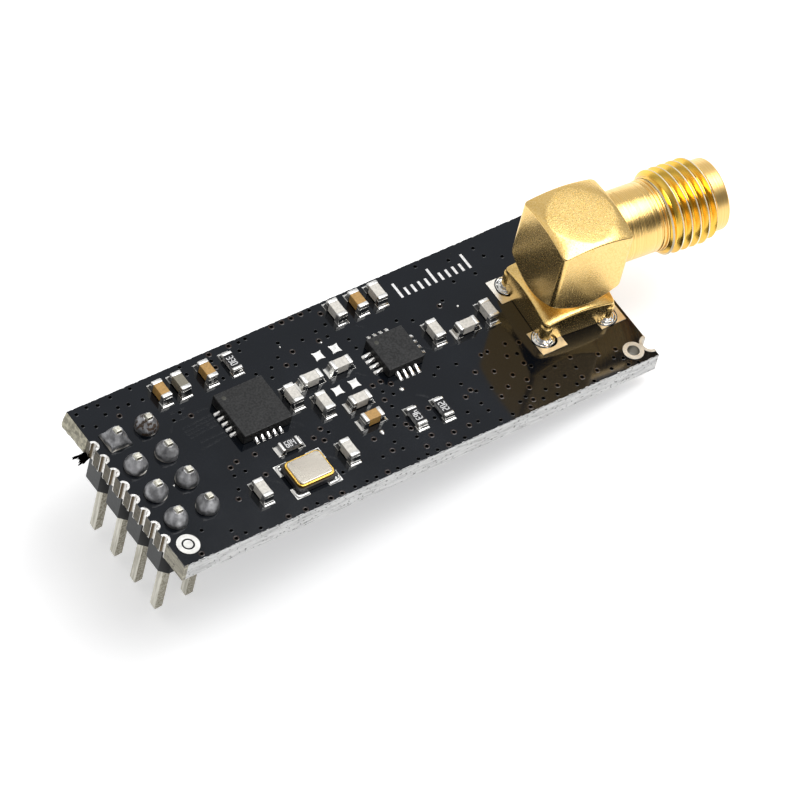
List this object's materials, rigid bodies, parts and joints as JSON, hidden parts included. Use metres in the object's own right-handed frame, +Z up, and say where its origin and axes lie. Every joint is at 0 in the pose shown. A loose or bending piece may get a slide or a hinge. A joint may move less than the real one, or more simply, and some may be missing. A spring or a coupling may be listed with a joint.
{
  "type": "wireless transceiver module",
  "caption": "Narrow circuit board with a pin header and soldered half-holes at one end and a gold right-angle antenna jack at the other, with flat chips, a crystal and small parts.",
  "frame": {"origin": "middle of the header's pins, on the face that the header's housing seats on", "axes": "+X along the board towards the antenna jack, +Y towards the board's back edge, +Z up, away from the header's feet"},
  "size_m": [0.0477, 0.0148, 0.0197],
  "materials": {
    "board": "glass fibre board under satin black solder mask, pale at its cut edges",
    "tinned_copper": "bright tinned copper",
    "solder": "satin solder",
    "header_plastic": "dark moulded plastic",
    "pin_metal": "tinned pin",
    "gold_plate": "gold-plated brass, finely grained on its flats",
    "white_insulator": "waxy white plastic",
    "chip_moulding": "matte moulding compound",
    "crystal_ceramic": "black fired ceramic",
    "lid_metal": "plated lid with a bright bevel",
    "tan_ceramic": "tan fired ceramic",
    "olive_ceramic": "olive grey fired ceramic",
    "pale_ceramic": "pale fired ceramic",
    "resistor_glaze": "black glaze"
  },
  "bodies": {
    "root": {"amplifier_chip": "chip_moulding", "amplifier_leads": "tinned_copper", "bare_pads": "tinned_copper", "capacitor_ends": "tinned_copper", "circuit_board": "board", "component_lands": "tinned_copper", "component_solder": "solder", "corner_mark": "tinned_copper", "corner_rings": "tinned_copper", "crystal_base": "crystal_ceramic", "crystal_lid": "lid_metal", "crystal_ring": "gold_plate", "edge_pads": "tinned_copper", "header_housing": "header_plastic", "header_lands": "tinned_copper", "header_pin_1": "pin_metal", "header_pin_2": "pin_metal", "header_pin_3": "pin_metal", "header_pin_4": "pin_metal", "header_pin_5": "pin_metal", "header_pin_6": "pin_metal", "header_pin_7": "pin_metal", "header_pin_8": "pin_metal", "header_solder": "solder", "jack_barrel": "gold_plate", "jack_body": "gold_plate", "jack_contact": "gold_plate", "jack_insulator": "white_insulator", "jack_lands": "tinned_copper", "jack_solder": "solder", "olive_capacitor": "olive_ceramic", "pale_capacitor_1": "pale_ceramic", "pale_capacitor_10": "pale_ceramic", "pale_capacitor_11": "pale_ceramic", "pale_capacitor_12": "pale_ceramic", "pale_capacitor_2": "pale_ceramic", "pale_capacitor_3": "pale_ceramic", "pale_capacitor_4": "pale_ceramic", "pale_capacitor_5": "pale_ceramic", "pale_capacitor_6": "pale_ceramic", "pale_capacitor_7": "pale_ceramic", "pale_capacitor_8": "pale_ceramic", "pale_capacitor_9": "pale_ceramic", "resistor_1": "resistor_glaze", "resistor_2": "resistor_glaze", "resistor_3": "resistor_glaze", "resistor_4": "resistor_glaze", "resistor_ends": "tinned_copper", "tan_capacitor_1": "tan_ceramic", "tan_capacitor_2": "tan_ceramic", "tan_capacitor_3": "tan_ceramic", "tan_capacitor_4": "tan_ceramic", "transceiver_chip": "chip_moulding", "transceiver_leads": "tinned_copper"}
  },
  "joints": []
}
